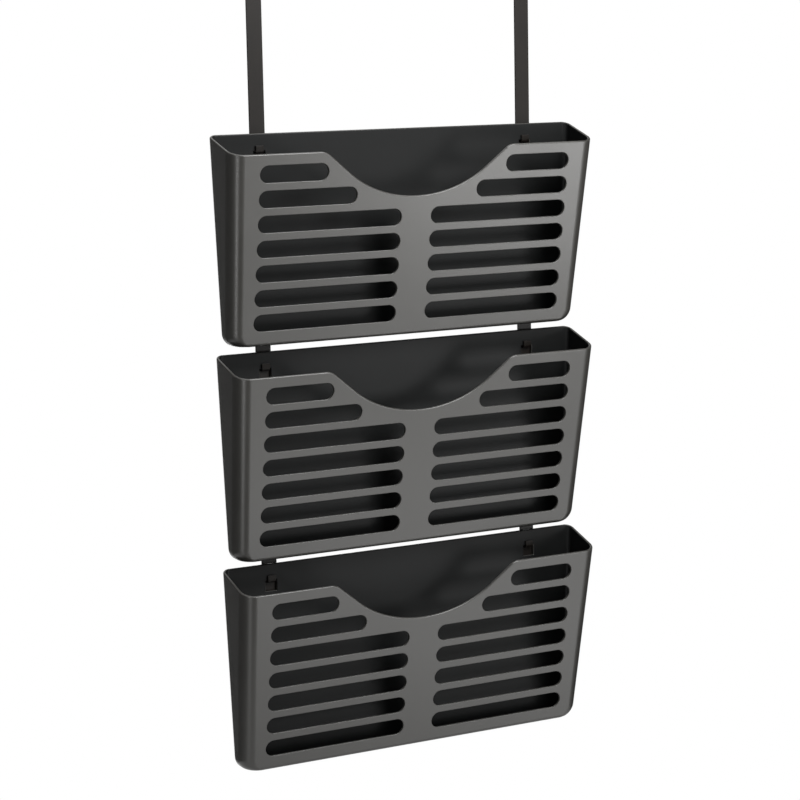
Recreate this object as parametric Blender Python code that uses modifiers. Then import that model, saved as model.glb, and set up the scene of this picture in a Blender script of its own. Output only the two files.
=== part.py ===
"""Three-pocket hanging wall file: like moulded pockets that hang on the hooks of two long steel
hangers, which clamp over the top of an office partition.

Frame: +X to the right, +Y towards the partition, +Z up. The origin is on the back face of the top
pocket, on the centre line, level with its front rim.
"""
import math

import bmesh
import bpy
from mathutils import Vector

MM = 0.001

# Pocket moulding. Heights are measured from the front rim of the pocket.
RIM_WIDTH = 341 * MM
BASE_WIDTH = 329 * MM
RIM_DEPTH = 47.5 * MM
BASE_DEPTH = 20 * MM
POCKET_HEIGHT = 158 * MM
BACK_RISE = 15 * MM
WALL = 2.5 * MM
RIM_FRONT_RADIUS = 11 * MM
BASE_FRONT_RADIUS = 8 * MM
RIM_BACK_RADIUS = 7 * MM
BASE_BACK_RADIUS = 5 * MM
LOWER_CORNER_RADIUS = 11 * MM
LOWER_EDGE_RADIUS = 3 * MM
FRONT_CORNER_STEPS = 8
BACK_CORNER_STEPS = 5
LOWER_CORNER_STEPS = 6

# Front windows: rows of round-ended slots on each side of the centre.
SLOT_HEIGHT = 13.9 * MM
SLOT_PITCH = 20.4 * MM
FIRST_SLOT_DROP = 16.1 * MM
SLOT_ROWS = 7
SLOT_OUTER_END = 144.5 * MM
SLOT_INNER_ENDS = (83.4 * MM, 56.3 * MM)
LONG_SLOT_INNER_END = 14 * MM
SLOT_END_STEPS = 7

# Finger scoop in the front rim.
SCOOP_HALF_WIDTH = 86 * MM
SCOOP_DEPTH = 42 * MM
SCOOP_FLANK_ANGLE = math.radians(40)
SCOOP_SHOULDER_RADIUS = 12 * MM
SCOOP_ARC_STEPS = 20
SCOOP_SHOULDER_STEPS = 5

# How the pockets hang: each back wall has two windows, and a hook in each carries its top edge.
POCKET_NAMES = ("top", "middle", "bottom")
POCKET_GAP = 7 * MM
POCKET_PITCH = POCKET_HEIGHT + BACK_RISE + POCKET_GAP
HOOK_SPACING = 252 * MM
HOOK_WIDTH = 7 * MM
HOOK_RELIEF = 0.4 * MM
HOOK_BLANK = 13 * MM
HOOK_TIP = 3.5 * MM
SEAT_GAP = 0.3 * MM
SEAT_SINK = 0.65 * MM
WINDOW_SIDE_PLAY = 1.75 * MM
WINDOW_HEIGHT = 9.6 * MM
WINDOW_TOP = 1 * MM
BEND_STEPS = 6

# Steel strip that the hangers and rear hooks are bent from, and their own sizes.
STRIP_WIDTH = 13.5 * MM
STRIP_THICKNESS = 1.6 * MM
HANGER_TAIL = 16 * MM
STRIP_BEND_RADIUS = 3 * MM
HANGER_TOP = 193 * MM
HANGER_REACH = 72 * MM
PARTITION_FACE = 2.5 * MM
PARTITION_THICKNESS = 51 * MM
THIN_PARTITION = 38 * MM
THICK_PARTITION = 68 * MM
REAR_HOOK_DROP = 60 * MM
SCREW_SETBACK = 13 * MM
REAR_HOOK_NOSE = 7 * MM

# Clamping screw, washer and thumb nut.
SCREW_DIAMETER = 5 * MM
SCREW_CLEARANCE = 0.3 * MM
SCREW_HEAD_DIAMETER = 10.5 * MM
SCREW_HEAD_HEIGHT = 1.8 * MM
SCREW_HEAD_PROFILE = ((1.0, 0.35), (0.8, 0.8), (0.45, 1.0))  # shares of the head's radius and height
SCREW_TIP_CHAMFER = 0.5 * MM
SCREW_STANDOUT = 1.2 * MM
NUT_CLEARANCE = 0.06 * MM
WASHER_DIAMETER = 12 * MM
WASHER_THICKNESS = 1 * MM
NUT_DIAMETER = 16 * MM
NUT_COLLAR_DIAMETER = 11 * MM
NUT_COLLAR_HEIGHT = 2.6 * MM
NUT_GRIP_HEIGHT = 5 * MM
NUT_FLUTES = 18
NUT_FLUTE_DEPTH = 0.7 * MM
NUT_FLUTE_SHARE = 0.9  # of the way from one flute to the next that a flute takes up
NUT_FLUTE_STEPS = 8
NUT_EDGE = 0.5 * MM
ROUND_STEPS = 28

CUT_MARGIN = 6 * MM
MERGE = 0.00001


def clear_scene():
    """Remove the objects of the scene that is open."""
    for item in list(bpy.data.objects):
        bpy.data.objects.remove(item, do_unlink=True)


def collection(name):
    """A new collection in the scene."""
    group = bpy.data.collections.new(name)
    bpy.context.scene.collection.children.link(group)
    return group


clear_scene()
PARTS = collection("wall_file")
CUTTERS = collection("cutters")


def material(name, colour, roughness, metallic):
    """A plain Principled material."""
    surface = bpy.data.materials.new(name)
    surface.use_nodes = True
    shader = surface.node_tree.nodes["Principled BSDF"]
    shader.inputs["Base Color"].default_value = (*colour, 1.0)
    shader.inputs["Roughness"].default_value = roughness
    shader.inputs["Metallic"].default_value = metallic
    surface.diffuse_color = (*colour, 1.0)
    return surface


def object_from(name, mesh, group):
    """An object that shows a mesh, in a collection."""
    item = bpy.data.objects.new(name, mesh)
    group.objects.link(item)
    return item


def object_from_bmesh(name, bm, group):
    """An object that holds the finished bmesh."""
    mesh = bpy.data.meshes.new(name)
    bm.to_mesh(mesh)
    bm.free()
    return object_from(name, mesh, group)


def cutter(name, bm):
    """A boolean tool: it stays out of the render and shows as wire."""
    item = object_from_bmesh(name, bm, CUTTERS)
    item.hide_render = True
    item.display_type = "WIRE"
    return item


def cut(item, tool):
    """Take a tool's shape out of an object."""
    boolean = item.modifiers.new(tool.name, "BOOLEAN")
    boolean.operation = "DIFFERENCE"
    boolean.solver = "EXACT"
    boolean.object = tool


def thicken(item, thickness, offset):
    """Give an open surface its wall thickness."""
    wall = item.modifiers.new("wall", "SOLIDIFY")
    wall.thickness = thickness
    wall.offset = offset
    wall.use_even_offset = True


def evaluated_mesh(item, name):
    """The mesh that an object and its modifiers make, with its doubles merged."""
    graph = bpy.context.evaluated_depsgraph_get()
    mesh = bpy.data.meshes.new_from_object(item.evaluated_get(graph))
    mesh.name = name
    bm = bmesh.new()
    bm.from_mesh(mesh)
    bmesh.ops.remove_doubles(bm, verts=bm.verts, dist=MERGE)
    bm.to_mesh(mesh)
    bm.free()
    return mesh


def soften(mesh):
    """Smooth shading that keeps the sharp edges."""
    mesh.shade_smooth()
    mesh.set_sharp_from_angle(angle=math.radians(35))


def place(name, mesh, surface, location, parent=None):
    """A finished sub-part at its place, in world coordinates."""
    soften(mesh)
    item = object_from(name, mesh, PARTS)
    mesh.materials.clear()
    mesh.materials.append(surface)
    item.location = location
    if parent:
        item.parent = parent
        item.location = Vector(location) - parent.matrix_world.translation
    bpy.context.view_layer.update()
    return item


def box_bmesh(low, high):
    """A box between two corners."""
    bm = bmesh.new()
    made = bmesh.ops.create_cube(bm, size=1.0)
    low, high = Vector(low), Vector(high)
    bmesh.ops.scale(bm, verts=made["verts"], vec=high - low)
    bmesh.ops.translate(bm, verts=made["verts"], vec=(low + high) / 2)
    return bm


def arc(centre, radius, start, end, steps):
    """Points along an arc, start and end included, with angles in degrees."""
    points = []
    for step in range(steps + 1):
        angle = math.radians(start + (end - start) * step / steps)
        points.append((centre[0] + radius * math.cos(angle), centre[1] + radius * math.sin(angle)))
    return points


def between(rim_value, base_value, z):
    """A size that changes evenly from the rim, at z = 0, down to the underside of the pocket."""
    return rim_value + (rim_value - base_value) * z / POCKET_HEIGHT


def roll_in(rise, radius):
    """How far a rounded lower edge has moved in at a height above the underside."""
    if rise >= radius:
        return 0.0
    return radius - math.sqrt(radius * radius - (radius - rise) ** 2)


def pocket_section(z):
    """The rounded outline of the pocket at one height, counter-clockwise from above."""
    rise = z + POCKET_HEIGHT
    side_inset = roll_in(rise, LOWER_CORNER_RADIUS)
    edge_inset = roll_in(rise, LOWER_EDGE_RADIUS)
    half = between(RIM_WIDTH, BASE_WIDTH, z) / 2 - side_inset
    front = -between(RIM_DEPTH, BASE_DEPTH, z) + edge_inset
    back = -edge_inset
    front_radius = between(RIM_FRONT_RADIUS, BASE_FRONT_RADIUS, z) - edge_inset
    back_radius = between(RIM_BACK_RADIUS, BASE_BACK_RADIUS, z) - edge_inset
    points = arc((half - front_radius, front + front_radius), front_radius, -90, 0, FRONT_CORNER_STEPS)
    points += arc((half - back_radius, back - back_radius), back_radius, 0, 90, BACK_CORNER_STEPS)
    points += arc((-half + back_radius, back - back_radius), back_radius, 90, 180, BACK_CORNER_STEPS)
    points += arc((-half + front_radius, front + front_radius), front_radius, 180, 270, FRONT_CORNER_STEPS)
    return [Vector((x, y, z)) for x, y in points]


def pocket_levels():
    """Heights of the sections, from above the rim down round the lower corners."""
    levels = [BACK_RISE + CUT_MARGIN]
    for step in range(LOWER_CORNER_STEPS + 1):
        angle = math.pi / 2 * step / LOWER_CORNER_STEPS
        levels.append(LOWER_CORNER_RADIUS * (1 - math.sin(angle)) - POCKET_HEIGHT)
    return levels


def pocket_skin():
    """The outer skin of a pocket: a loft of its sections, open at the sloping rim."""
    bm = bmesh.new()
    loops = []
    for z in pocket_levels():
        verts = [bm.verts.new(point) for point in pocket_section(z)]
        edges = [bm.edges.new((verts[i - 1], verts[i])) for i in range(len(verts))]
        loops.append((verts, edges))
    for upper, lower in zip(loops, loops[1:]):
        bmesh.ops.bridge_loops(bm, edges=upper[1] + lower[1])
    bm.faces.new(loops[-1][0])
    rim_plane = Vector((0, -BACK_RISE, RIM_DEPTH))
    bmesh.ops.bisect_plane(
        bm,
        geom=bm.verts[:] + bm.edges[:] + bm.faces[:],
        dist=MERGE,
        plane_co=(0, -RIM_DEPTH, 0),
        plane_no=rim_plane,
        clear_outer=True,
    )
    bmesh.ops.recalc_face_normals(bm, faces=bm.faces)
    return object_from_bmesh("pocket_pattern", bm, CUTTERS)


def slot_inner_end(row):
    """Where a slot row ends near the centre: the top rows stop short of the scoop."""
    if row < len(SLOT_INNER_ENDS):
        return SLOT_INNER_ENDS[row]
    return LONG_SLOT_INNER_END


def slot_cutter():
    """All the front windows of a pocket: round-ended bars through the front wall."""
    bm = bmesh.new()
    for row in range(SLOT_ROWS):
        drop = FIRST_SLOT_DROP + row * SLOT_PITCH
        for side in (-1, 1):
            middle = side * (SLOT_OUTER_END + slot_inner_end(row)) / 2
            size = Vector((SLOT_OUTER_END - slot_inner_end(row), RIM_DEPTH, SLOT_HEIGHT))
            made = bmesh.ops.create_cube(bm, size=1.0)
            bmesh.ops.scale(bm, verts=made["verts"], vec=size)
            bmesh.ops.translate(bm, verts=made["verts"], vec=(middle, -RIM_DEPTH / 2 - 3 * WALL, -drop))
            along = [
                edge
                for edge in {edge for vert in made["verts"] for edge in vert.link_edges}
                if abs(edge.verts[0].co.y - edge.verts[1].co.y) > RIM_DEPTH / 2
            ]
            bmesh.ops.bevel(
                bm,
                geom=along,
                offset=SLOT_HEIGHT / 2 - MERGE,
                offset_type="OFFSET",
                affect="EDGES",
                segments=SLOT_END_STEPS,
                profile=0.5,
                material=-1,
            )
    return cutter("slot_cutter", bm)


def scoop_half():
    """The right half of the scoop outline as (x, z), from the lowest point up over the shoulder.

    The bottom arc runs tangent into a straight flank, and the flank into a rounded shoulder.
    """
    sine, cosine = math.sin(SCOOP_FLANK_ANGLE), math.cos(SCOOP_FLANK_ANGLE)
    radius = (SCOOP_HALF_WIDTH * sine - SCOOP_DEPTH * cosine) / (1 - cosine)
    flank = math.degrees(SCOOP_FLANK_ANGLE)
    points = arc((0, radius - SCOOP_DEPTH), radius, -90, flank - 90, SCOOP_ARC_STEPS)
    shoulder_x = SCOOP_HALF_WIDTH + SCOOP_SHOULDER_RADIUS * math.tan(SCOOP_FLANK_ANGLE / 2)
    shoulder = (shoulder_x, -SCOOP_SHOULDER_RADIUS)
    points += arc(shoulder, SCOOP_SHOULDER_RADIUS, 90 + flank, 90, SCOOP_SHOULDER_STEPS)
    return points


def scoop_cutter():
    """The finger scoop: its outline pushed through the front wall."""
    right = scoop_half()
    shoulder_x = right[-1][0]
    outline = [(-x, z) for x, z in reversed(right[1:])] + right
    outline += [(shoulder_x, BACK_RISE + CUT_MARGIN), (-shoulder_x, BACK_RISE + CUT_MARGIN)]
    bm = bmesh.new()
    face = bm.faces.new([bm.verts.new((x, -RIM_DEPTH - CUT_MARGIN, z)) for x, z in outline])
    pushed = bmesh.ops.extrude_face_region(bm, geom=[face])
    moved = [item for item in pushed["geom"] if isinstance(item, bmesh.types.BMVert)]
    bmesh.ops.translate(bm, verts=moved, vec=(0, RIM_DEPTH - 2 * WALL, 0))
    bmesh.ops.recalc_face_normals(bm, faces=bm.faces)
    return cutter("scoop_cutter", bm)


def window_cutter(side):
    """One window in the back wall that a hook reaches through."""
    centre = side * HOOK_SPACING / 2
    half = HOOK_WIDTH / 2 + WINDOW_SIDE_PLAY
    low = (centre - half, -2 * WALL, WINDOW_TOP - WINDOW_HEIGHT)
    high = (centre + half, WALL, WINDOW_TOP)
    return cutter("window_cutter", box_bmesh(low, high))


def sheet(bm, path, stations, first_row=None):
    """Rows of points at the x stations along a centre line of (y, z), joined by faces."""
    rows = [first_row] if first_row else []
    rows += [[bm.verts.new((x, y, z)) for x in stations] for y, z in path]
    for row, next_row in zip(rows, rows[1:]):
        for column in range(len(stations) - 1):
            bm.faces.new((row[column], row[column + 1], next_row[column + 1], next_row[column]))
    return rows


def strip_from(name, bm):
    """A sheet made into strip of even thickness about its centre line."""
    bmesh.ops.recalc_face_normals(bm, faces=bm.faces)
    item = object_from_bmesh(name, bm, CUTTERS)
    thicken(item, STRIP_THICKNESS, 0.0)
    return item


def finished_mesh(item, name):
    """The mesh of a working object, which is then removed."""
    bpy.context.view_layer.update()
    mesh = evaluated_mesh(item, name)
    bpy.data.objects.remove(item, do_unlink=True)
    return mesh


def pocket_mesh():
    """One pocket moulding with its slots, scoop and hook windows."""
    pattern = pocket_skin()
    thicken(pattern, WALL, -1.0)
    cut(pattern, slot_cutter())
    cut(pattern, scoop_cutter())
    for side in (-1, 1):
        cut(pattern, window_cutter(side))
    return finished_mesh(pattern, "pocket")


def round_bar(bm, radius, low, high):
    """A closed cylinder on the Z axis between two heights."""
    made = bmesh.ops.create_cone(
        bm,
        cap_ends=True,
        segments=ROUND_STEPS,
        radius1=radius,
        radius2=radius,
        depth=high - low,
    )
    bmesh.ops.translate(bm, verts=made["verts"], vec=(0, 0, (low + high) / 2))
    return made["verts"]


def obround_cutter(name, start, end, width, low, high):
    """A round-ended slot tool along Y on the Z axis plane."""
    bm = box_bmesh((-width / 2, start, low), (width / 2, end, high))
    upright = [edge for edge in bm.edges if abs(edge.verts[0].co.z - edge.verts[1].co.z) > (high - low) / 2]
    bmesh.ops.bevel(
        bm,
        geom=upright,
        offset=width / 2 - MERGE,
        offset_type="OFFSET",
        affect="EDGES",
        segments=SLOT_END_STEPS,
        profile=0.5,
        material=-1,
    )
    return cutter(name, bm)


REAR_LEG_Y = PARTITION_FACE + PARTITION_THICKNESS + STRIP_THICKNESS / 2
SCREW_Y = REAR_LEG_Y - SCREW_SETBACK
TOP_LEG_Z = HANGER_TOP - STRIP_THICKNESS / 2
REAR_LEG_Z = TOP_LEG_Z - STRIP_THICKNESS - SEAT_GAP
SCREW_HOLE = SCREW_DIAMETER + 2 * SCREW_CLEARANCE


HOOK_BEHIND = SEAT_GAP + STRIP_THICKNESS / 2
HOOK_INSIDE = -WALL - SEAT_GAP - STRIP_THICKNESS / 2
HOOK_RADIUS = (HOOK_BEHIND - HOOK_INSIDE) / 2


def hook_path(root_z):
    """The centre line (y, z) of a lanced hook, from its root in the strip to its upturned tip."""
    bend = arc((HOOK_BEHIND - HOOK_RADIUS, root_z), HOOK_RADIUS, 0, -180, BEND_STEPS)
    return bend[1:] + [(HOOK_INSIDE, root_z + HOOK_TIP)]


def is_blank(face, root_z):
    """Whether a face of the strip is where the hook of that root was cut from."""
    middle = face.calc_center_median()
    return abs(middle.x) < HOOK_WIDTH / 2 + HOOK_RELIEF and 0 < middle.z - root_z < HOOK_BLANK


def hanger_mesh():
    """A hanger: a long upright with a hook for each pocket, and a slotted leg over the partition.

    Each hook is lanced out of the strip, so an opening as tall as its blank stays above its root.
    """
    hook, gap, edge = HOOK_WIDTH / 2, HOOK_WIDTH / 2 + HOOK_RELIEF, STRIP_WIDTH / 2
    stations = (-edge, -gap, -hook, hook, gap, edge)
    roots = [WINDOW_TOP + SEAT_SINK - index * POCKET_PITCH for index in range(len(POCKET_NAMES))]
    path = [(HOOK_BEHIND, roots[-1] - HANGER_TAIL)]
    for root_z in reversed(roots):
        path += [(HOOK_BEHIND, root_z), (HOOK_BEHIND, root_z + HOOK_BLANK)]
    corner = (HOOK_BEHIND + STRIP_BEND_RADIUS, TOP_LEG_Z - STRIP_BEND_RADIUS)
    path += arc(corner, STRIP_BEND_RADIUS, 180, 90, BEND_STEPS)
    path += [(HANGER_REACH, TOP_LEG_Z)]
    bm = bmesh.new()
    rows = sheet(bm, path, stations)
    blanks = [face for face in bm.faces for root_z in roots if is_blank(face, root_z)]
    bmesh.ops.delete(bm, geom=blanks, context="FACES_ONLY")
    for root_z, root_row in zip(reversed(roots), rows[1::2]):
        sheet(bm, hook_path(root_z), (-hook, hook), root_row[2:4])
    bmesh.ops.delete(bm, geom=[edge for edge in bm.edges if not edge.link_faces], context="EDGES")
    strip = strip_from("hanger_pattern", bm)
    slot_start = SCREW_Y - (PARTITION_THICKNESS - THIN_PARTITION) - SCREW_HOLE / 2
    slot_end = SCREW_Y + (THICK_PARTITION - PARTITION_THICKNESS) + SCREW_HOLE / 2
    low, high = TOP_LEG_Z - STRIP_THICKNESS, TOP_LEG_Z + STRIP_THICKNESS
    cut(strip, obround_cutter("hanger_slot_cutter", slot_start, slot_end, SCREW_HOLE, low, high))
    return finished_mesh(strip, "hanger")


def rear_hook_mesh():
    """A rear hook, drawn about its screw: short leg under the hanger and a long leg down the far side."""
    leg_y = REAR_LEG_Y - SCREW_Y
    corner = (leg_y - STRIP_BEND_RADIUS, REAR_LEG_Z - STRIP_BEND_RADIUS)
    path = [(-REAR_HOOK_NOSE, REAR_LEG_Z)]
    path += arc(corner, STRIP_BEND_RADIUS, 90, 0, BEND_STEPS)
    path += [(leg_y, REAR_LEG_Z - REAR_HOOK_DROP)]
    bm = bmesh.new()
    sheet(bm, path, (-STRIP_WIDTH / 2, STRIP_WIDTH / 2))
    strip = strip_from("rear_hook_pattern", bm)
    bm = bmesh.new()
    round_bar(bm, SCREW_HOLE / 2, REAR_LEG_Z - STRIP_THICKNESS, REAR_LEG_Z + STRIP_THICKNESS)
    cut(strip, cutter("rear_hook_hole_cutter", bm))
    return finished_mesh(strip, "rear_hook")


HEAD_TOP = REAR_LEG_Z - STRIP_THICKNESS / 2 - SEAT_GAP
WASHER_BASE = HANGER_TOP + SEAT_GAP
NUT_BASE = WASHER_BASE + WASHER_THICKNESS + SEAT_GAP
NUT_TOP = NUT_BASE + NUT_COLLAR_HEIGHT + NUT_GRIP_HEIGHT


def turned(name, profile):
    """A turned piece: a profile of (radius, z), outer side top to bottom, spun about Z."""
    bm = bmesh.new()
    verts = [bm.verts.new((radius, 0, z)) for radius, z in profile]
    for a, b in zip(verts, verts[1:]):
        bm.edges.new((a, b))
    if profile[0][0] > 0:
        bm.edges.new((verts[-1], verts[0]))
    item = object_from_bmesh(name, bm, CUTTERS)
    screw = item.modifiers.new("spin", "SCREW")
    screw.steps = ROUND_STEPS
    screw.render_steps = ROUND_STEPS
    screw.use_merge_vertices = True
    screw.merge_threshold = MERGE
    return finished_mesh(item, name)


def screw_mesh():
    """The clamping screw: a low domed head below and a plain shank up through the nut."""
    head, shank = SCREW_HEAD_DIAMETER / 2, SCREW_DIAMETER / 2
    tip = NUT_TOP + SCREW_STANDOUT
    profile = [
        (0, tip),
        (shank - SCREW_TIP_CHAMFER, tip),
        (shank, tip - SCREW_TIP_CHAMFER),
        (shank, HEAD_TOP),
        (head, HEAD_TOP),
    ]
    profile += [(head * out, HEAD_TOP - SCREW_HEAD_HEIGHT * down) for out, down in SCREW_HEAD_PROFILE]
    profile.append((0, HEAD_TOP - SCREW_HEAD_HEIGHT))
    return turned("clamp_screw", profile)


def washer_mesh():
    """A plain flat washer."""
    outer, inner = WASHER_DIAMETER / 2, SCREW_HOLE / 2
    low, high = WASHER_BASE, WASHER_BASE + WASHER_THICKNESS
    return turned("washer", [(outer, high), (outer, low), (inner, low), (inner, high)])


def thumb_nut_mesh():
    """A thumb nut: a plain collar below and a fluted grip above, bored for the screw."""
    outer, collar, bore = NUT_DIAMETER / 2, NUT_COLLAR_DIAMETER / 2, SCREW_DIAMETER / 2 + NUT_CLEARANCE
    step = NUT_BASE + NUT_COLLAR_HEIGHT
    profile = [
        (outer - NUT_EDGE, NUT_TOP),
        (outer, NUT_TOP - NUT_EDGE),
        (outer, step + NUT_EDGE),
        (outer - NUT_EDGE, step),
        (collar, step),
        (collar, NUT_BASE),
        (bore, NUT_BASE),
        (bore, NUT_TOP),
    ]
    blank = object_from("thumb_nut_pattern", turned("thumb_nut_blank", profile), CUTTERS)
    bm = bmesh.new()
    flute_radius = math.pi * outer / NUT_FLUTES * NUT_FLUTE_SHARE / 2
    reach = outer - NUT_FLUTE_DEPTH + flute_radius
    for index in range(NUT_FLUTES):
        angle = 2 * math.pi * index / NUT_FLUTES
        made = bmesh.ops.create_cone(
            bm,
            cap_ends=True,
            segments=NUT_FLUTE_STEPS,
            radius1=flute_radius,
            radius2=flute_radius,
            depth=NUT_TOP - step + 2 * NUT_EDGE,
        )
        middle = (reach * math.cos(angle), reach * math.sin(angle), (NUT_TOP + step) / 2)
        bmesh.ops.translate(bm, verts=made["verts"], vec=middle)
    cut(blank, cutter("flute_cutter", bm))
    return finished_mesh(blank, "thumb_nut")


CHARCOAL = material("charcoal_polystyrene", (0.075, 0.074, 0.070), 0.45, 0.0)
BLACK_STEEL = material("black_painted_steel", (0.030, 0.028, 0.025), 0.40, 0.0)
ZINC = material("zinc_plated_steel", (0.55, 0.55, 0.53), 0.35, 1.0)


def build_pockets():
    """The pockets, all alike, one below the other."""
    pocket = pocket_mesh()
    for index, name in enumerate(POCKET_NAMES):
        place("pocket_" + name, pocket, CHARCOAL, (0, 0, -index * POCKET_PITCH))


def build_hangers():
    """A hanger, rear hook and clamp on each side."""
    hanger, rear_hook = hanger_mesh(), rear_hook_mesh()
    screw, washer, nut = screw_mesh(), washer_mesh(), thumb_nut_mesh()
    for side, suffix in ((-1, "left"), (1, "right")):
        x = side * HOOK_SPACING / 2
        place("hanger_" + suffix, hanger, BLACK_STEEL, (x, 0, 0))
        hook = place("rear_hook_" + suffix, rear_hook, BLACK_STEEL, (x, SCREW_Y, 0))
        place("clamp_screw_" + suffix, screw, ZINC, (x, SCREW_Y, 0), hook)
        place("washer_" + suffix, washer, ZINC, (x, SCREW_Y, 0), hook)
        place("thumb_nut_" + suffix, nut, ZINC, (x, SCREW_Y, 0), hook)


build_pockets()
build_hangers()
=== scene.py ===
# %% [markdown]
# # A hanging wall file
# Three like pockets of dark moulded plastic hang one above another on two long steel hangers. The
# hangers bend over the top of an office partition, where a hook on the far side is clamped to each.
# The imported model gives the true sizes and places, in metres. This script gives the surfaces, which
# are softened edges, moulded plastic, painted steel and zinc plating, and the light and the camera.

# %% Load the frame
import math

import bmesh
import bpy
from mathutils import Matrix, Vector


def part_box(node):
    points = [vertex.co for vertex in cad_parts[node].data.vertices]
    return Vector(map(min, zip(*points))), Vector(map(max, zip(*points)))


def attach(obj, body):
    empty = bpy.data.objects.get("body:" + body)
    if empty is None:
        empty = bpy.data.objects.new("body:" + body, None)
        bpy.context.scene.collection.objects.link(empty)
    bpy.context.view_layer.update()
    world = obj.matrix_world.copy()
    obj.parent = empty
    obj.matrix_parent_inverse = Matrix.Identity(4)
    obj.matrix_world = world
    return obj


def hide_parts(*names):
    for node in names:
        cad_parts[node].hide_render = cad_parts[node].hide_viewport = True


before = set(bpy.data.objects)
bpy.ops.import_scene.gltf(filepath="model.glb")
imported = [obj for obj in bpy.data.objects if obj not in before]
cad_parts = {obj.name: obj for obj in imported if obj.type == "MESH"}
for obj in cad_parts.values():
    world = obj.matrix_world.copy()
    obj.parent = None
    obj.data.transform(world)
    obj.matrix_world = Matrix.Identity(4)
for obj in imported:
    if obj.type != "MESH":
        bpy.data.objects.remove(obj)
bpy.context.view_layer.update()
MM = 0.001

# %% [markdown]
# ## The camera
# The photograph looks down a little from the left, through a long lens. Its place was worked out
# from the rims, the slots and the hangers, so the same points fall in the same places. A camera
# could be aimed with a Track To constraint, but that leaves no way to tilt it slightly as a held
# camera is. A camera looks along its own -Z axis, so its matrix holds right, up and backwards as
# columns, and the three angles go straight into those.

# %% Place the camera
CAMERA_PLACE = Vector((-0.89427, -1.7204, 0.08682))
CAMERA_TURN = math.radians(27.487)
CAMERA_DIP = math.radians(8.9095)
CAMERA_ROLL = math.radians(-1.0793)
FOCAL_LENGTH, SENSOR_WIDTH = 102.8, 36

forward = Vector(
    (
        math.sin(CAMERA_TURN) * math.cos(CAMERA_DIP),
        math.cos(CAMERA_TURN) * math.cos(CAMERA_DIP),
        -math.sin(CAMERA_DIP),
    )
)
level_right = Vector((math.cos(CAMERA_TURN), -math.sin(CAMERA_TURN), 0))
level_up = level_right.cross(forward)
right = level_right * math.cos(CAMERA_ROLL) + level_up * math.sin(CAMERA_ROLL)
up = level_up * math.cos(CAMERA_ROLL) - level_right * math.sin(CAMERA_ROLL)

scene = bpy.context.scene
lens = bpy.data.cameras.new("camera")
lens.lens = FOCAL_LENGTH
lens.sensor_width = SENSOR_WIDTH
camera = bpy.data.objects.new("camera", lens)
scene.collection.objects.link(camera)
turn = Matrix((right, up, -forward)).transposed()
camera.matrix_world = Matrix.Translation(CAMERA_PLACE) @ turn.to_4x4()
scene.camera = camera
print("camera at", tuple(round(value, 3) for value in camera.location))

# %% [markdown]
# ## Helpers for pieces
# Every piece is modelled in its own bmesh and ends as an object that sits at the origin, with its
# place in its mesh. Holes are cut with a Boolean modifier, which is applied at once. Its exact
# solver is slower than the fast one, but it keeps flat faces flat and copes with faces that touch.


# %% Make an object, and cut it with a tool
def make_object(name, bm):
    """An object at the origin that holds the finished bmesh."""
    mesh = bpy.data.meshes.new(name)
    bm.to_mesh(mesh)
    bm.free()
    item = bpy.data.objects.new(name, mesh)
    scene.collection.objects.link(item)
    return item


def apply_modifiers(item):
    """Turns what an object's modifiers make into its own mesh."""
    graph = bpy.context.evaluated_depsgraph_get()
    finished = bpy.data.meshes.new_from_object(item.evaluated_get(graph))
    item.modifiers.clear()
    item.data = finished


def cut(item, tool):
    """Cuts the tool's shape out of an object for good, and removes the tool."""
    boolean = item.modifiers.new("cut", "BOOLEAN")
    boolean.operation = "DIFFERENCE"
    boolean.solver = "EXACT"
    boolean.object = tool
    apply_modifiers(item)
    bpy.data.objects.remove(tool, do_unlink=True)


# %% [markdown]
# ## The body of a pocket
# The real pocket is one injection moulding with an even wall. It tapers towards the bottom so that
# it leaves its mould. Such a shape could be a box with moved corners, but its front and back
# corners are rounded unlike each other, and it draws in along a quarter circle at the bottom. So it
# is a loft: rounded rectangles, one above another, joined into a skin. Each rectangle is a single
# face whose corners are bevelled, wide at the front and tighter at the back.

# %% Pocket sizes
RIM_WIDTH, BASE_WIDTH = 341 * MM, 329 * MM
RIM_DEPTH, BASE_DEPTH = 47.5 * MM, 20 * MM
POCKET_HEIGHT = 158 * MM
BACK_RISE = 15 * MM
WALL = 2.5 * MM
FRONT_RADII = (12.5 * MM, 11.5 * MM)
BACK_RADII = (7 * MM, 5 * MM)
LOWER_CORNER = 11 * MM
LOWER_EDGE = 3 * MM


def between(at_rim, at_base, z):
    """A size that changes evenly from the rim, at z = 0, to the underside."""
    return at_rim + (at_rim - at_base) * z / POCKET_HEIGHT


def draw_in(rise, radius):
    """How far a rounded lower edge has drawn in, at a height above the underside."""
    return radius - math.sqrt(radius**2 - max(radius - rise, 0) ** 2)


half_way = -POCKET_HEIGHT / 2
print("depth half way down: %.2f mm" % (between(RIM_DEPTH, BASE_DEPTH, half_way) / MM))

# %% One section of a pocket
FRONT_CORNER_STEPS, BACK_CORNER_STEPS = 14, 8


def round_corners(bm, corners, radius, segments):
    """Rounds some corners of a flat face."""
    bmesh.ops.bevel(
        bm,
        geom=corners,
        offset=radius,
        offset_type="OFFSET",
        affect="VERTICES",
        segments=segments,
        profile=0.5,
        material=-1,
    )


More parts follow.
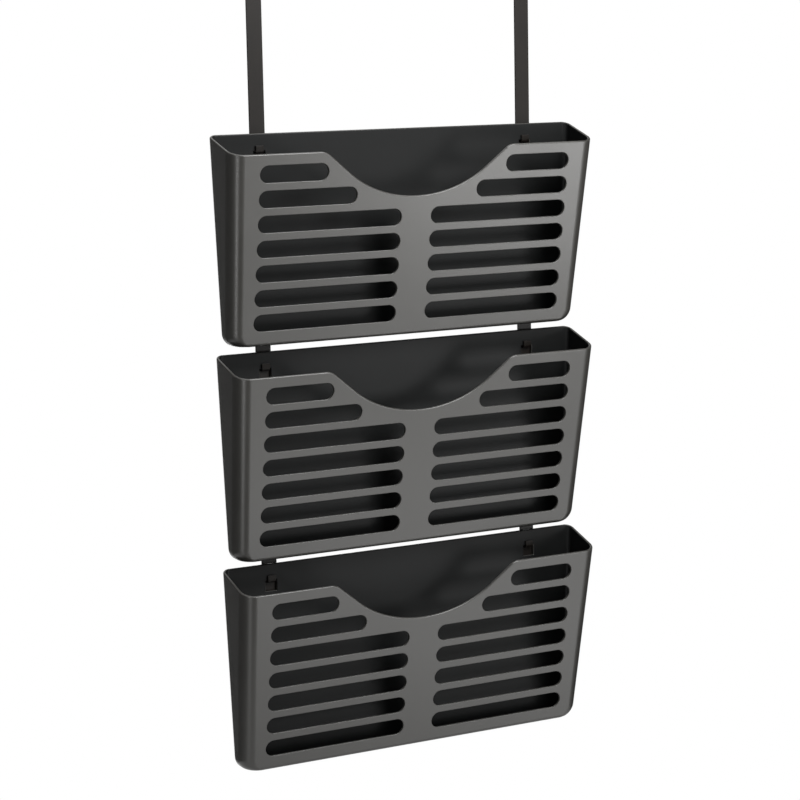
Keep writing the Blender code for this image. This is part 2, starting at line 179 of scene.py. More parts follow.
def add_section(bm, z):
    """Adds the outline of the pocket at one height, as one face."""
    known = set(bm.faces)
    rise = z + POCKET_HEIGHT
    edge = draw_in(rise, LOWER_EDGE)
    width = between(RIM_WIDTH, BASE_WIDTH, z) - 2 * draw_in(rise, LOWER_CORNER)
    depth = between(RIM_DEPTH, BASE_DEPTH, z)
    corners = bmesh.ops.create_grid(bm, x_segments=1, y_segments=1, size=0.5)["verts"]
    bmesh.ops.scale(bm, verts=corners, vec=(width, depth - 2 * edge, 1))
    bmesh.ops.translate(bm, verts=corners, vec=(0, -depth / 2, z))
    fronts = [vert for vert in corners if vert.co.y < -depth / 2]
    backs = [vert for vert in corners if vert.co.y > -depth / 2]
    round_corners(bm, fronts, between(*FRONT_RADII, z) - edge, FRONT_CORNER_STEPS)
    round_corners(bm, backs, between(*BACK_RADII, z) - edge, BACK_CORNER_STEPS)
    return (set(bm.faces) - known).pop()


# %% Heights of the sections
SPARE = 6 * MM  # how far the skin and the tools reach past what is cut
ABOVE_RIM = BACK_RISE + SPARE
PLAIN_PARTS = 4
LOWER_CORNER_STEPS = 14


def pocket_levels():
    """Heights of the sections: a few down the plain walls, then more round the lower corners."""
    plain = POCKET_HEIGHT - LOWER_CORNER
    levels = [ABOVE_RIM]
    levels += [-plain * step / PLAIN_PARTS for step in range(1, PLAIN_PARTS)]
    for step in range(LOWER_CORNER_STEPS + 1):
        angle = math.pi / 2 * step / LOWER_CORNER_STEPS
        levels.append(LOWER_CORNER * (1 - math.sin(angle)) - POCKET_HEIGHT)
    return levels


print("heights in mm:", [round(z / MM, 1) for z in pocket_levels()])

# %% [markdown]
# ### Skin, sloping rim and wall
# Bridging joins each section to the next, and the faces in between are deleted, which leaves the
# underside. The rim slopes up to the back, so the skin starts above it and is cut along a plane. A
# Solidify modifier then gives the wall. Even offset keeps the wall as thick round the corners as it
# is on the flats, and the inner side gets a material slot of its own.

# %% Loft the skin of a pocket
ON_PLANE = 0.001 * MM

bm = bmesh.new()
sections = [add_section(bm, z) for z in pocket_levels()]
for upper, lower in zip(sections, sections[1:]):
    bmesh.ops.bridge_loops(bm, edges=list(upper.edges) + list(lower.edges))
bmesh.ops.delete(bm, geom=sections[:-1], context="FACES_ONLY")
bmesh.ops.bisect_plane(
    bm,
    geom=bm.verts[:] + bm.edges[:] + bm.faces[:],
    dist=ON_PLANE,
    plane_co=(0, -RIM_DEPTH, 0),
    plane_no=(0, -BACK_RISE, RIM_DEPTH),
    clear_outer=True,
)
bmesh.ops.recalc_face_normals(bm, faces=bm.faces)
pocket = make_object("pocket", bm)
print("pocket skin:", len(sections), "sections,", len(pocket.data.polygons), "faces")

# %% Give the skin its wall
OUTER_SIDE, INNER_SIDE = 0, 1

for _ in (OUTER_SIDE, INNER_SIDE):
    pocket.data.materials.append(None)
wall = pocket.modifiers.new("wall", "SOLIDIFY")
wall.thickness = WALL
wall.offset = -1
wall.use_even_offset = True
wall.material_offset = INNER_SIDE
apply_modifiers(pocket)
print("pocket with its wall:", len(pocket.data.polygons), "faces")

# %% [markdown]
# ## The finger scoop
# The scoop in the front rim is a wide arc with straight flanks and rounded shoulders. Its outline
# could be worked out point by point, but a plain notch of three corners is enough. Rounding the
# lowest corner with a very large radius makes the arc, and rounding the upper two makes the
# shoulders. A corner of a flat face is rounded over a length along its sides of radius times the
# tangent of half its turn.

# %% Draw the scoop
SCOOP_HALF_WIDTH = 86 * MM
SCOOP_DEPTH = 42 * MM
FLANK = math.radians(40)
SHOULDER_RADIUS = 12 * MM
ARC_STEPS, SHOULDER_STEPS = 56, 10
JUST_SHORT = 0.999  # a shoulder's rounding must not use up the whole edge beside it
TOOL_MERGE = 0.05 * MM  # shorter edges in a tool would hold back the rounding that follows

flank_reach = SCOOP_HALF_WIDTH * math.sin(FLANK) - SCOOP_DEPTH * math.cos(FLANK)
arc_radius = flank_reach / (1 - math.cos(FLANK))
shoulder = SHOULDER_RADIUS * math.tan(FLANK / 2)
outline = [
    (-SCOOP_HALF_WIDTH - shoulder, 0),
    (-SCOOP_HALF_WIDTH, 0),
    (0, -SCOOP_HALF_WIDTH * math.tan(FLANK)),
    (SCOOP_HALF_WIDTH, 0),
    (SCOOP_HALF_WIDTH + shoulder, 0),
    (SCOOP_HALF_WIDTH + shoulder, ABOVE_RIM),
    (-SCOOP_HALF_WIDTH - shoulder, ABOVE_RIM),
]
bm = bmesh.new()
notch = [bm.verts.new((x, -RIM_DEPTH - SPARE, z)) for x, z in outline]
bm.faces.new(notch)
apex, shoulders = notch[2], [notch[1], notch[3]]
round_corners(bm, [apex], arc_radius * math.tan(FLANK), ARC_STEPS)
round_corners(bm, shoulders, shoulder * JUST_SHORT, SHOULDER_STEPS)
bmesh.ops.remove_doubles(bm, verts=bm.verts, dist=TOOL_MERGE)
print("scoop depth: %.2f mm" % (-min(vert.co.z for vert in bm.verts) / MM))

# %% [markdown]
# The outline is pushed back into a tool that stops short of the back wall. Then the tool is sheared
# until it is square to the drafted front wall, as the rim's own face is. A level tool would leave a
# small step where its shoulders run into the rim, and the rounding of the rim would stop there.

# %% Cut the scoop
SCOOP_TOOL_LENGTH = RIM_DEPTH - 2 * WALL

pushed = bmesh.ops.extrude_face_region(bm, geom=bm.faces[:])["geom"]
moved = [item for item in pushed if isinstance(item, bmesh.types.BMVert)]
bmesh.ops.translate(bm, verts=moved, vec=(0, SCOOP_TOOL_LENGTH, 0))
draft = (RIM_DEPTH - BASE_DEPTH) / POCKET_HEIGHT
lean = Matrix(((1, 0, 0, 0), (0, 1, 0, 0), (0, draft, 1, draft * RIM_DEPTH), (0, 0, 0, 1)))
bmesh.ops.transform(bm, matrix=lean, verts=bm.verts)
bmesh.ops.recalc_face_normals(bm, faces=bm.faces)
cut(pocket, make_object("scoop_tool", bm))
print("draft of the front wall: %.1f degrees" % math.degrees(math.atan(draft)))

# %% [markdown]
# ## The rim
# A moulded rim is never knife sharp: both of its edges are rounded, and they catch the thin line of
# light that outlines each pocket in the photograph. A Bevel modifier could do it, but it would also
# round edges that are to stay. Above the rounded lower corners the rim has the only sharp edges of
# the mesh, so they are found there by the angle between their faces. A bevel is only as wide as the
# shortest edge beside it allows, so points that nearly touch are merged first.

# %% Round the rim
NEARLY_TOUCHING = 0.03 * MM
NEARLY_FLAT = math.radians(0.4)
SHARP = math.radians(50)
ROUNDED_ABOVE = LOWER_CORNER - POCKET_HEIGHT  # below this the sections round the edges already
RIM_ROUNDING, RIM_STEPS = 1.15 * MM, 5


def soften(item, radius, segments, lowest=-math.inf):
    """Rounds the sharp edges of a mesh that lie above a height, and counts them."""
    bm = bmesh.new()
    bm.from_mesh(item.data)
    above = [vert for vert in bm.verts if vert.co.z > lowest]
    bmesh.ops.remove_doubles(bm, verts=above, dist=NEARLY_TOUCHING)
    bmesh.ops.dissolve_limit(bm, angle_limit=NEARLY_FLAT, verts=bm.verts, edges=bm.edges)
    sharp = [edge for edge in bm.edges if edge.is_manifold and edge.calc_face_angle() > SHARP]
    chosen = [edge for edge in sharp if min(vert.co.z for vert in edge.verts) > lowest]
    bmesh.ops.bevel(
        bm,
        geom=chosen,
        offset=radius,
        offset_type="OFFSET",
        affect="EDGES",
        segments=segments,
        profile=0.5,
        material=-1,
        clamp_overlap=True,
    )
    bm.to_mesh(item.data)
    bm.free()
    return len(chosen)


print("rim edges rounded:", soften(pocket, RIM_ROUNDING, RIM_STEPS, ROUNDED_ABOVE))

# %% [markdown]
# ## The slots and the hook windows
# Seven rows of round-ended slots lighten the front wall, and the top two rows stop short of the
# scoop. Each tool is a block whose four long edges are bevelled by half its height, so its ends
# are half round. A hair less than half keeps the two bevels of an end from meeting in edges of no
# length. All fourteen blocks are cut at once, which is much quicker than one by one.

# %% Cut the slots
SLOT_HEIGHT = 13.9 * MM
SLOT_PITCH = 20.4 * MM
FIRST_SLOT_DROP = 16.1 * MM
SLOT_OUTER_END = 144.5 * MM
SLOT_INNER_ENDS = (83.4 * MM, 56.3 * MM, 14 * MM, 14 * MM, 14 * MM, 14 * MM, 14 * MM)
SLOT_TOOL_MIDDLE = -RIM_DEPTH / 2 - 3 * WALL  # out through the front wall, clear of the back
SLOT_END_STEPS = 10
HAIR = 0.01 * MM


def add_slot_block(bm, side, inner_end, height):
    """Adds one round-ended block, as long as the slot and as deep as the pocket."""
    middle = side * (SLOT_OUTER_END + inner_end) / 2
    block = bmesh.ops.create_cube(bm, size=1)["verts"]
    bmesh.ops.scale(bm, verts=block, vec=(SLOT_OUTER_END - inner_end, RIM_DEPTH, SLOT_HEIGHT))
    bmesh.ops.translate(bm, verts=block, vec=(middle, SLOT_TOOL_MIDDLE, height))
    edges = dict.fromkeys(edge for vert in block for edge in vert.link_edges)
    ends = [edge for edge in edges if abs(edge.verts[0].co.y - edge.verts[1].co.y) > WALL]
    bmesh.ops.bevel(
        bm,
        geom=ends,
        offset=SLOT_HEIGHT / 2 - HAIR,
        offset_type="OFFSET",
        affect="EDGES",
        segments=SLOT_END_STEPS,
        profile=0.5,
        material=-1,
    )


bm = bmesh.new()
for row, inner_end in enumerate(SLOT_INNER_ENDS):
    for side in (-1, 1):
        add_slot_block(bm, side, inner_end, -FIRST_SLOT_DROP - row * SLOT_PITCH)
bmesh.ops.remove_doubles(bm, verts=bm.verts, dist=TOOL_MERGE)
bmesh.ops.recalc_face_normals(bm, faces=bm.faces)
cut(pocket, make_object("slot_tool", bm))
print("slots cut:", 2 * len(SLOT_INNER_ENDS))

# %% [markdown]
# Two square windows in the back wall let the hangers' hooks reach in. After they are cut, the slots
# and the windows have the only sharp edges above the lower corners, so one more call softens them.
# The rounding is finer than the rim's: a slot's edge is where two halves of the mould shut off.

# %% Cut the hook windows and soften all openings
HOOK_SPACING = 252 * MM
WINDOW_WIDTH = 10.5 * MM
WINDOW_HEIGHT = 9.6 * MM
WINDOW_TOP = 1 * MM
WINDOW_TOOL_LENGTH = 4 * WALL
OPENING_ROUNDING, OPENING_STEPS = 0.6 * MM, 3

bm = bmesh.new()
for side in (-1, 1):
    place = (side * HOOK_SPACING / 2, 0, WINDOW_TOP - WINDOW_HEIGHT / 2)
    block = bmesh.ops.create_cube(bm, size=1)["verts"]
    bmesh.ops.scale(bm, verts=block, vec=(WINDOW_WIDTH, WINDOW_TOOL_LENGTH, WINDOW_HEIGHT))
    bmesh.ops.translate(bm, verts=block, vec=place)
cut(pocket, make_object("window_tool", bm))
opening_edges = soften(pocket, OPENING_ROUNDING, OPENING_STEPS, ROUNDED_ABOVE)
print("slot and window edges rounded:", opening_edges)

# %% [markdown]
# ## Three pockets
# The pockets come from one mould, so the finished mesh is copied. Each copy carries its place in
# its mesh, rides on its own body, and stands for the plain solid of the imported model. Smooth
# shading alone would bend the light near every rounded edge. The Weighted Normal modifier lets the
# largest faces decide, so flat walls look flat and only the roundings turn.

# %% Copy the pocket
POCKET_PITCH = 180 * MM
LARGE_FACES_DECIDE = 100


def shade(item):
    """Smooth shading in which large flat faces keep their own direction."""
    item.data.shade_smooth()
    weighted = item.modifiers.new("flat faces", "WEIGHTED_NORMAL")
    weighted.keep_sharp = False
    weighted.weight = LARGE_FACES_DECIDE


def declare(piece, body, node):
    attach(piece, body)
    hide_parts(node)


pockets = []
for index, name in enumerate(("top", "middle", "bottom")):
    piece = bpy.data.objects.new("moulded_pocket_" + name, pocket.data.copy())
    scene.collection.objects.link(piece)
    piece.data.transform(Matrix.Translation((0, 0, -index * POCKET_PITCH)))
    shade(piece)
    declare(piece, "pocket_" + name, "pocket_" + name)
    pockets.append(piece)
bpy.data.objects.remove(pocket, do_unlink=True)
print("pockets:", [piece.name for piece in pockets], len(pockets[0].data.polygons), "faces each")

# %% [markdown]
# ## The hangers and the rear hooks
# These are blanked and bent from flat steel strip, so their long edges are slightly rounded by the
# punching and by the paint. Drawing them again would gain nothing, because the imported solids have
# the right shape. A copy of each is merged from its loose triangles, its flat faces are joined, and
# then its sharp edges are bevelled.

# %% Soften the steel strips
SIDES = ("left", "right")
STRIP_ROUNDING, STRIP_STEPS = 0.3 * MM, 2


def softened_strip(node, body):
    """A copy of a packed steel strip with its edges rounded, riding where the solid does."""
    piece = bpy.data.objects.new("painted_" + node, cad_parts[node].data.copy())
    scene.collection.objects.link(piece)
    soften(piece, STRIP_ROUNDING, STRIP_STEPS)
    shade(piece)
    declare(piece, body, node)
    return piece


strips = []
for side in SIDES:
    strips.append(softened_strip("hanger_" + side, "hangers"))
    strips.append(softened_strip("rear_hook_" + side, "hook_" + side))
print("strips:", [(piece.name, len(piece.data.polygons)) for piece in strips])

# %% [markdown]
# ## The clamps
# A screw comes up through the rear hook and through the slot in the hanger's top leg. A washer
# bridges the slot, and a thumb nut pulls the two strips together on the partition. All three are
# turned parts, so they are made as on a lathe: half of a cross-section is drawn beside the axis and
# spun once round. Cylinders set on each other would need joining, and would have no chamfers.

# %% Turn a piece on the lathe
TURNING_STEPS = 64
SMALL_MERGE = 0.0005 * MM
SMALL_EDGE, SMALL_EDGE_STEPS = 0.12 * MM, 2
SMALL_SHARP = math.radians(35)


def turned_piece(node, profile):
    """Spins a profile of (radius, height) in mm round the axis of a small part."""
    bm = bmesh.new()
    verts = [bm.verts.new((radius * MM, 0, height * MM)) for radius, height in profile]
    edges = [bm.edges.new(pair) for pair in zip(verts, verts[1:])]
    if profile[0][0] > 0:
        edges.append(bm.edges.new((verts[-1], verts[0])))
    bmesh.ops.spin(
        bm,
        geom=verts + edges,
        axis=(0, 0, 1),
        angle=math.tau,
        steps=TURNING_STEPS,
        use_merge=True,
    )
    bmesh.ops.remove_doubles(bm, verts=bm.verts, dist=SMALL_MERGE)
    bmesh.ops.recalc_face_normals(bm, faces=bm.faces)
    return make_object("zinc_" + node, bm)


def finish_on_axis(item, node, body):
    low, high = (Vector(corner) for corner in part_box(node))
    place = ((low.x + high.x) / 2, (low.y + high.y) / 2, low.z)
    item.data.transform(Matrix.Translation(place))
    edges = item.modifiers.new("edges", "BEVEL")
    edges.width = SMALL_EDGE
    edges.segments = SMALL_EDGE_STEPS
    edges.limit_method = "ANGLE"
    edges.angle_limit = SMALL_SHARP
    shade(item)
    declare(item, body, node)
    return item


# %% [markdown]
# ### Clamp screw
# The head lies under the rear hook, the shank goes up through both strips, and the end carries the
# thread. A cut thread is a ridge that climbs as it goes round, so a small triangle is spun many
# times while it rises by one pitch a turn. Two crossed bars cut the recess for the screwdriver.

# %% Sizes of the screw in mm
HEAD_HEIGHT = 1.8
SCREW_LENGTH = 16.0
SCREW_PROFILE = (
    (0, SCREW_LENGTH),
    (1.7, SCREW_LENGTH),
    (2.1, SCREW_LENGTH - 0.4),
    (2.1, HEAD_HEIGHT + 2.4),
    (2.5, HEAD_HEIGHT + 2.0),
    (2.5, HEAD_HEIGHT),
    (5.2, HEAD_HEIGHT),
    (5.25, HEAD_HEIGHT - 0.1),
    (5.2, 1.1),
    (4.9, 0.7),
    (4.3, 0.36),
    (3.4, 0.12),
    (2.4, 0),
    (0, 0),
)
THREAD_ROOT, THREAD_CREST, THREAD_PITCH = 2.05, 2.47, 0.8
THREAD_HALF_WIDTH = THREAD_PITCH * 0.42
THREAD_START = HEAD_HEIGHT + 2.9
THREAD_TURNS, THREAD_STEPS = 13, 24
RECESS_WIDTH, RECESS_LENGTH, RECESS_DEPTH = 1.1, 5.4, 1
print("thread reaches %.1f mm of %.1f" % (THREAD_START + THREAD_TURNS * THREAD_PITCH, SCREW_LENGTH))


# %% Turn, cross-cut and thread the screws
def add_thread(bm):
    """A thread: its triangle climbs by one pitch in every turn."""
    corners = (
        (THREAD_ROOT, -THREAD_HALF_WIDTH),
        (THREAD_CREST, 0),
        (THREAD_ROOT, THREAD_HALF_WIDTH),
    )
    verts = [bm.verts.new((radius * MM, 0, (THREAD_START + rise) * MM)) for radius, rise in corners]
    bmesh.ops.spin(
        bm,
        geom=verts + [bm.edges.new(pair) for pair in zip(verts, verts[1:] + verts[:1])],
        axis=(0, 0, 1),
        dvec=(0, 0, THREAD_PITCH * MM / THREAD_STEPS),
        angle=math.tau * THREAD_TURNS,
        steps=THREAD_STEPS * THREAD_TURNS,
    )


small_parts = []
for side in SIDES:
    screw = turned_piece("clamp_screw_" + side, SCREW_PROFILE)
    for bar_size in ((RECESS_WIDTH, RECESS_LENGTH), (RECESS_LENGTH, RECESS_WIDTH)):
        bm = bmesh.new()
        bar = bmesh.ops.create_cube(bm, size=MM)["verts"]
        bmesh.ops.scale(bm, verts=bar, vec=(*bar_size, 2 * RECESS_DEPTH))
        cut(screw, make_object("recess_tool", bm))
    bm = bmesh.new()
    bm.from_mesh(screw.data)
    add_thread(bm)
    bmesh.ops.recalc_face_normals(bm, faces=bm.faces)
    bmesh.ops.holes_fill(bm, edges=[edge for edge in bm.edges if edge.is_boundary], sides=3)
    bm.to_mesh(screw.data)
    bm.free()
    small_parts.append(finish_on_axis(screw, "clamp_screw_" + side, "hook_" + side))
print("screws:", [(piece.name, len(piece.data.polygons)) for piece in small_parts])

# %% [markdown]
# ### Washer and thumb nut
# The washer is a punched ring. The nut has a plain collar below and a wider grip above, whose
# flutes are milled. A ring of thin rods, set a little outside the grip, cuts all of them at once.

# %% Sizes of the washer and the nut in mm
WASHER_PROFILE = (
    (6, 0.08),
    (6, 0.92),
    (5.9, 1),
    (2.9, 1),
    (2.8, 0.92),
    (2.8, 0.08),
    (2.9, 0),
    (5.9, 0),
)
COLLAR_TOP, NUT_HEIGHT, BORE, GRIP_RADIUS = 2.6, 7.6, 2.56, 8.0
NUT_PROFILE = (
    (BORE, 0.4),
    (BORE + 0.4, 0),
    (5.3, 0),
    (5.5, 0.2),
    (5.5, COLLAR_TOP),
    (7.5, COLLAR_TOP),
    (GRIP_RADIUS, COLLAR_TOP + 0.5),
    (GRIP_RADIUS, NUT_HEIGHT - 0.5),
    (7.5, NUT_HEIGHT),
    (4.2, NUT_HEIGHT),
    (3.9, NUT_HEIGHT - 0.3),
    (BORE + 0.4, NUT_HEIGHT - 0.3),
    (BORE, NUT_HEIGHT - 0.7),
)
FLUTES = 18
FLUTE_RADIUS, FLUTE_REACH, FLUTE_LENGTH, FLUTE_STEPS = 1.26, 8.56, 8, 20
print("flutes cut %.2f mm into the grip" % (FLUTE_RADIUS - FLUTE_REACH + GRIP_RADIUS))

# %% Turn the washers and the nuts, and cut the flutes
for side in SIDES:
    washer = turned_piece("washer_" + side, WASHER_PROFILE)
    small_parts.append(finish_on_axis(washer, "washer_" + side, "hook_" + side))
    nut = turned_piece("thumb_nut_" + side, NUT_PROFILE)
    bm = bmesh.new()
    for index in range(FLUTES):
        rod = bmesh.ops.create_cone(
            bm,
            cap_ends=True,
            segments=FLUTE_STEPS,
            radius1=FLUTE_RADIUS * MM,
            radius2=FLUTE_RADIUS * MM,
            depth=FLUTE_LENGTH * MM,
        )["verts"]
        place = (FLUTE_REACH * MM, 0, (COLLAR_TOP + FLUTE_LENGTH / 2) * MM)
        bmesh.ops.translate(bm, verts=rod, vec=place)
        step = Matrix.Rotation(math.tau * index / FLUTES, 3, "Z")
        bmesh.ops.rotate(bm, verts=rod, matrix=step)
    cut(nut, make_object("flute_tool", bm))
    small_parts.append(finish_on_axis(nut, "thumb_nut_" + side, "nut_" + side))
print("clamp parts:", [(piece.name, len(piece.data.polygons)) for piece in small_parts])

# %% [markdown]
# ## Materials
# One function turns the hex colour of a screen into the linear values that the renderer works in,
# and one adds a node with its settings and its links.


# %% Colour and node helpers
def linear(code):
    """An sRGB hex colour as linear red, green, blue and alpha."""
    channels = [int(code[start : start + 2], 16) / 255 for start in (1, 3, 5)]
    light = [c / 12.92 if c <= 0.04045 else ((c + 0.055) / 1.055) ** 2.4 for c in channels]
    return (*light, 1.0)


def add_node(tree, kind, settings=None, links=None):
    """Adds a node. Settings are its properties or its inputs' values, and links join its inputs."""
    node = tree.nodes.new(kind)
    for name, value in (settings or {}).items():
        if isinstance(name, str) and hasattr(node, name):
            setattr(node, name, value)
        else:
            node.inputs[name].default_value = value
    for name, source in (links or {}).items():
        tree.links.new(source, node.inputs[name])
    return node


def new_material(name):
    """A material with its Principled shader."""
    material = bpy.data.materials.new(name)
    material.use_nodes = True
    return material, material.node_tree, material.node_tree.nodes["Principled BSDF"]


# %% [markdown]
# ### What the three finishes share
# No real finish is even. Its tone drifts in soft patches, and often its gloss with them, so one
# noise drives both. Its surface has a fine relief of its own, which a bump gives without any more
# faces. All noises read object coordinates, which stay on a piece when it moves, and their scale
# comes from a size in millimetres. The roughness stays above 0.28 everywhere, because lower values
# are cleaned by the renderer in another way, and the border between the two would show as a line.

# %% Patches and relief
MIDDLE_OF_NOISE = (0.3, 0.7)  # a noise seldom leaves this range, so the tones are spread over it


def per_metre(millimetres):
    """The scale of a noise whose features are that many millimetres across."""
    return 1 / (millimetres * MM)


def add_patches(tree, shader, size, detail, tones, gloss=None):
    """Lets the tone, and the roughness too where it is given, drift in patches of a size."""
    place = add_node(tree, "ShaderNodeTexCoord")
    patches = add_node(
        tree,
        "ShaderNodeTexNoise",
        {"Scale": per_metre(size), "Detail": detail},
        {"Vector": place.outputs["Object"]},
    )
    tone = add_node(tree, "ShaderNodeValToRGB", {}, {"Fac": patches.outputs["Fac"]})
    for stop, position, code in zip(tone.color_ramp.elements, MIDDLE_OF_NOISE, tones):
        stop.position = position
        stop.color = linear(code)
    tree.links.new(tone.outputs["Color"], shader.inputs["Base Color"])
    if gloss:
        names = ("From Min", "From Max", "To Min", "To Max")
        settings = dict(zip(names, MIDDLE_OF_NOISE + gloss))
        source = {"Value": patches.outputs["Fac"]}
        drift = add_node(tree, "ShaderNodeMapRange", settings, source)
        tree.links.new(drift.outputs["Result"], shader.inputs["Roughness"])


def add_relief(tree, shader, size, strength, height):
    """Gives the surface a fine relief of a size and a height, as a bump."""
    place = add_node(tree, "ShaderNodeTexCoord")
    grain = add_node(
        tree,
        "ShaderNodeTexNoise",
        {"Scale": per_metre(size), "Detail": 1.0},
        {"Vector": place.outputs["Object"]},
    )
    bump = add_node(
        tree,
        "ShaderNodeBump",
        {"Strength": strength, "Distance": height},
        {"Height": grain.outputs["Fac"]},
    )
    tree.links.new(bump.outputs["Normal"], shader.inputs["Normal"])


print("patches of 45 mm have a scale of %.1f" % per_metre(45))

# %% [markdown]
# ### Charcoal polystyrene, injection moulded
# Impact polystyrene copies the steel of its mould. The outer side of a pocket is formed by a cavity
# with a fine spark-eroded texture, which spreads the light and looks a lighter, satin grey. The
# inner side is formed by the core and is the same plastic, but it is given a much darker tone and
# little shine, as painted shade for the dark inside of the pocket. The texture is about 0.1 mm, too
# fine to show from two metres, so it is drawn at 1.2 mm. The melt flows unevenly, which leaves
# faint cloudy patches a few centimetres across.

# %% Moulded plastic
POLYSTYRENE_IOR = 1.59
CLOUD_SIZE, CLOUD_DETAIL = 45, 3.0
TEXTURE_SIZE, TEXTURE_STRENGTH = 1.2, 0.25


def moulded_plastic(name, tones, gloss, specular, texture_height):
    """Polystyrene whose tone and gloss drift a little, with the fine texture of its mould."""
    material, tree, shader = new_material(name)
    add_patches(tree, shader, CLOUD_SIZE, CLOUD_DETAIL, tones, gloss)
    add_relief(tree, shader, TEXTURE_SIZE, TEXTURE_STRENGTH, texture_height)
    shader.inputs["IOR"].default_value = POLYSTYRENE_IOR
    shader.inputs["Specular IOR Level"].default_value = specular
    return material


cavity_side = moulded_plastic(
    "polystyrene_spark_textured",
    tones=("#403f3c", "#454441"),
    gloss=(0.29, 0.33),
    specular=0.5,
    texture_height=0.06 * MM,
)
# The inner side's dark tone and low shine are painted shade for the inside of the pocket.
inner_painted_shade = moulded_plastic(
    "polystyrene_inner_painted_shade",
    tones=("#151616", "#191a1a"),
    gloss=(0.42, 0.46),
    specular=0.12,
    texture_height=0.01 * MM,
)
for piece in pockets:
    piece.data.materials[OUTER_SIDE] = cavity_side
    piece.data.materials[INNER_SIDE] = inner_painted_shade
print("materials:", cavity_side.name, inner_painted_shade.name)

# %% [markdown]
# ### Mild steel strip, black satin paint
# Sprayed and baked paint levels into a skin with a slight orange peel, waves about 2 mm across. It
# is satin and nearly black, with a warm cast, and its film is a little uneven over a few
# centimetres.

# %% Painted steel
FILM_SIZE = 30
PEEL_SIZE, PEEL_HEIGHT = 2.2, 0.05 * MM
SATIN_ROUGHNESS, PAINT_SPECULAR = 0.42, 0.2

paint, tree, shader = new_material("mild_steel_satin_black_paint")
add_patches(tree, shader, FILM_SIZE, detail=2.0, tones=("#171411", "#1c1815"))
add_relief(tree, shader, PEEL_SIZE, strength=0.2, height=PEEL_HEIGHT)
shader.inputs["Roughness"].default_value = SATIN_ROUGHNESS
shader.inputs["Specular IOR Level"].default_value = PAINT_SPECULAR
for piece in strips:
    piece.data.materials.clear()
    piece.data.materials.append(paint)
print("material:", paint.name)

# %% [markdown]
# ### Zinc-plated steel
# Screws, washers and nuts are turned or pressed, then plated. A zinc coat starts bright and dulls
# to a soft grey, in faint patches a few millimetres across that are both darker and rougher. The
# parts are small and finely edged, so they need no relief.

# %% Zinc plating
DULL_PATCH_SIZE = 4

zinc, tree, shader = new_material("zinc_plated_steel_turned")
dulling = ("#a2a4a5", "#868889")
add_patches(tree, shader, DULL_PATCH_SIZE, detail=3.0, tones=dulling, gloss=(0.32, 0.46))
shader.inputs["Metallic"].default_value = 1.0
for piece in small_parts:
    piece.data.materials.clear()
    piece.data.materials.append(zinc)
print("material:", zinc.name)

# %% [markdown]
# ## The studio
# The photograph has a white background and soft light from the front. A camera ray that misses
# everything finds white, and so does a reflection, while the light that falls on the object comes
# from a dimmer world and from large lamps. A brighter world would make the background white too,
# but it would wash out the dark plastic.

# %% World
WHITE_RAYS = ("Is Camera Ray", "Is Glossy Ray", "Is Transmission Ray")
FILL_LIGHT = 0.2

scene.view_settings.view_transform = "Standard"


def rays_that_see_white(tree):
    """1 for the rays that should find a white background, and 0 for those that carry light."""
    rays = add_node(tree, "ShaderNodeLightPath")
    seen = rays.outputs[WHITE_RAYS[0]]
    for kind in WHITE_RAYS[1:]:
        either = {0: seen, 1: rays.outputs[kind]}
        seen = add_node(tree, "ShaderNodeMath", {"operation": "MAXIMUM"}, either).outputs[0]
    return seen


world = bpy.data.worlds.new("studio")
world.use_nodes = True
scene.world = world
tree = world.node_tree
tree.nodes.clear()
strength = add_node(
    tree,
    "ShaderNodeMapRange",
    {"To Min": FILL_LIGHT, "To Max": 1.0},
    {"Value": rays_that_see_white(tree)},
)
sky = add_node(
    tree,
    "ShaderNodeBackground",
    {"Color": (1, 1, 1, 1)},
    {"Strength": strength.outputs["Result"]},
)
add_node(tree, "ShaderNodeOutputWorld", {}, {"Surface": sky.outputs["Background"]})
print("world: white to the camera, fill light", FILL_LIGHT)

# %% [markdown]
# ### Floor
# The floor lies well below the object, which hangs. It is pale, takes the shadow near the object,
# and fades to the white of the background further out, so no horizon shows. The fade is a mix of
# the floor's own surface and plain white, by the distance from the point below the object.

# %% Floor
FLOOR_HEIGHT = -1250 * MM
FLOOR_RADIUS, FLOOR_SIDES = 12, 96
PALE = (0.8, 0.8, 0.8, 1)
FADE_FROM, FADE_TO = 0.3, 1.5
WHITE_NEAR, WHITE_FAR = 0.55, 1.0

bm = bmesh.new()
bmesh.ops.create_circle(bm, cap_ends=True, segments=FLOOR_SIDES, radius=FLOOR_RADIUS)
bmesh.ops.translate(bm, verts=bm.verts, vec=(0, 0, FLOOR_HEIGHT))
floor = make_object("floor", bm)
pale, tree, shader = new_material("pale_floor")
shader.inputs["Base Color"].default_value = PALE
shader.inputs["Roughness"].default_value = 1.0
floor.data.materials.append(pale)
print("floor %.2f m below the upper pocket's rim" % -FLOOR_HEIGHT)

# %% Fade the floor to white
place = add_node(tree, "ShaderNodeTexCoord")
middle = add_node(
    tree,
    "ShaderNodeMapping",
    {"Location": (0, 0, -FLOOR_HEIGHT)},
    {"Vector": place.outputs["Object"]},
)
away = add_node(
    tree, "ShaderNodeVectorMath", {"operation": "LENGTH"}, {0: middle.outputs["Vector"]}
)
fade = add_node(
    tree,
    "ShaderNodeMapRange",
    {"From Min": FADE_FROM, "From Max": FADE_TO, "To Min": WHITE_NEAR, "To Max": WHITE_FAR},
    {"Value": away.outputs["Value"]},
)
share = add_node(
    tree,
    "ShaderNodeMath",
    {"operation": "MULTIPLY"},
    {0: rays_that_see_white(tree), 1: fade.outputs["Result"]},
)
white = add_node(tree, "ShaderNodeEmission", {"Color": (1, 1, 1, 1), "Strength": 1.0})
blend = add_node(
    tree,
    "ShaderNodeMixShader",
    {},
    {0: share.outputs[0], 1: shader.outputs[0], 2: white.outputs[0]},
)
tree.links.new(blend.outputs[0], tree.nodes["Material Output"].inputs["Surface"])
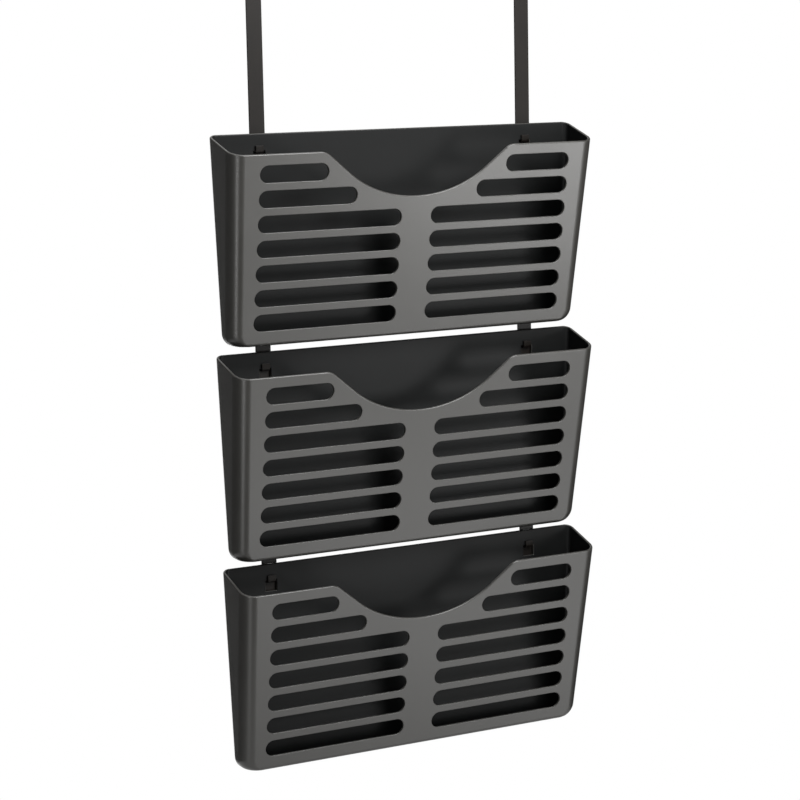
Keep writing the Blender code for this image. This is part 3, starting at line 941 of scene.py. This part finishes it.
print("floor is white from %.1f m outwards" % FADE_TO)

# %% [markdown]
# ### Lamps
# A key lamp in front, a light above and one behind give the plain soft light. The other three are
# seen in reflections alone: they shape the gloss, as a photographer's small lamps do, and leave the
# colours as they are. Two of them stand low on the right and lay a sheen over the faces, strongest
# at the top right. A narrow upright one on the left draws the bright line down each rounded front
# corner.

# %% Lamps
UPRIGHT_AXIS, LIT_AXIS = "Y", "-Z"
LAMPS = (
    # name, place, point it faces, width and height, watts, seen in reflections alone
    ("key_front", (0.25, -0.8, 0.5), (0, 0, -0.1), (0.5, 0.5), 11, False),
    ("top_light", (0.1, -0.3, 1.3), (0, 0, 0), (1.2, 0.8), 7, False),
    ("back_light", (1.0, 1.8, -0.4), (0, 0, -0.2), (1.2, 1.2), 14, False),
    ("upper_sheen", (0.86, -1.22, -0.44), (0, 0, -0.1), (0.45, 0.37), 4.1, True),
    ("lower_sheen", (0.7, -1.1, -1.08), (0, 0, -0.3), (0.9, 0.4), 1.9, True),
    ("corner_strip", (-1.12, -1.24, -0.25), (0, 0, -0.2), (0.12, 1.6), 4.5, True),
)

for name, place, aim, size, power, only_reflected in LAMPS:
    lamp = bpy.data.lights.new(name, "AREA")
    lamp.shape = "RECTANGLE"
    lamp.size, lamp.size_y = size
    lamp.energy = power
    item = bpy.data.objects.new(name, lamp)
    scene.collection.objects.link(item)
    item.location = place
    towards = Vector(aim) - Vector(place)
    item.rotation_euler = towards.to_track_quat(LIT_AXIS, UPRIGHT_AXIS).to_euler()
    item.visible_camera = False
    item.visible_diffuse = not only_reflected
print("lamps:", len(LAMPS))

# %% [markdown]
# ### Cards
# A dark glossy thing in a white room mirrors the white and turns pale. Photographers stand cards
# beside it to stop that. These are bent round the object, out of the camera's sight, and only
# reflections find them: the left one greys the side walls, the front one keeps the faces dark, and
# the right one darkens the edge on that side, so that the outline reads against the white.

# %% Cards
CARD_DISTANCE = 1250 * MM
CARD_HALF_HEIGHT = 2000 * MM
CARD_STEPS = 16
CARDS = (
    # name, tone, first and last bearing in degrees from the front
    ("card_left", "#7a7a7a", -165, -56),
    ("card_front", "#202020", -32, 6),
    ("card_right", "#202020", 60, 148),
)


def add_card(name, tone, first, last):
    """A bent card that only reflections see, between two bearings."""
    bm = bmesh.new()
    ends = [bm.verts.new((0, -CARD_DISTANCE, z)) for z in (-CARD_HALF_HEIGHT, CARD_HALF_HEIGHT)]
    upright = bm.edges.new(ends)
    start = Matrix.Rotation(math.radians(first), 3, "Z")
    bmesh.ops.rotate(bm, verts=ends, matrix=start)
    bmesh.ops.spin(
        bm,
        geom=ends + [upright],
        axis=(0, 0, 1),
        angle=math.radians(last - first),
        steps=CARD_STEPS,
    )
    card = make_object(name, bm)
    paper, _, shader = new_material(name + "_paper")
    shader.inputs["Base Color"].default_value = linear(tone)
    shader.inputs["Roughness"].default_value = 1.0
    shader.inputs["Specular IOR Level"].default_value = 0.0
    card.data.materials.append(paper)
    card.visible_camera = False
    card.visible_diffuse = False
    card.visible_shadow = False
    card.visible_transmission = False


for card_facts in CARDS:
    add_card(*card_facts)
print("cards:", len(CARDS))
